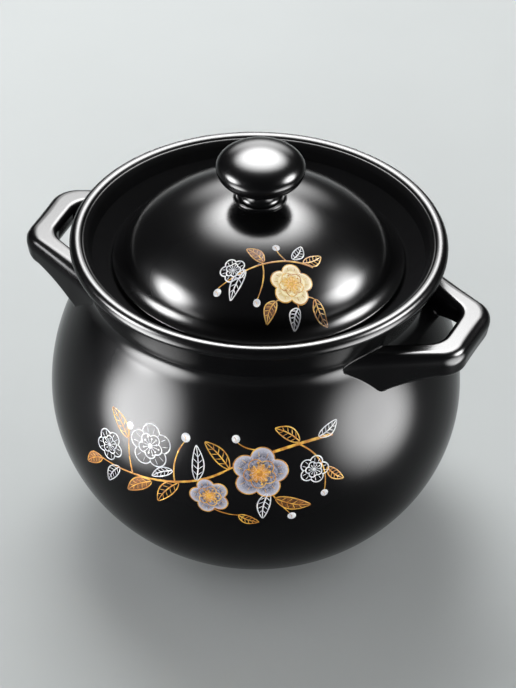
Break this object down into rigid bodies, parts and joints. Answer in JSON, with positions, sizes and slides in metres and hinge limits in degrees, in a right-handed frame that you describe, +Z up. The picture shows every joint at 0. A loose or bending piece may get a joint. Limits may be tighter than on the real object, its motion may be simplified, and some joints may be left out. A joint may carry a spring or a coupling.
{
  "type": "lidded soup pot",
  "caption": "Round-bellied black glazed stoneware soup pot with a flared collar, trapezoid loop handles at its sides and a lift-off domed lid with a ball knob, for simmering and serving.",
  "frame": {"origin": "centre of the foot, on the surface the pot stands on", "axes": "+X from the vessel's axis towards the right handle, +Z up the vessel's axis, +Y to the back; the print faces the front, -Y"},
  "size_m": [0.2788, 0.2418, 0.2564],
  "materials": {
    "black_glaze": "black satin-gloss glaze over stoneware, bare clay on the foot ring and under the lid's brim",
    "gold_print": "fired-on gold and brown transfer print",
    "white_print": "fired-on white and silver transfer print"
  },
  "bodies": {
    "pot": {"pot_belly": "black_glaze", "pot_collar": "black_glaze", "left_handle": "black_glaze", "right_handle": "black_glaze"},
    "lid": {"lid": "black_glaze", "lid_knob": "black_glaze"}
  },
  "joints": [
    {"name": "lid_lift", "type": "slide", "parent": "pot", "child": "lid", "axis": [0, 0, 1], "range_m": [0, 0.12]}
  ]
}
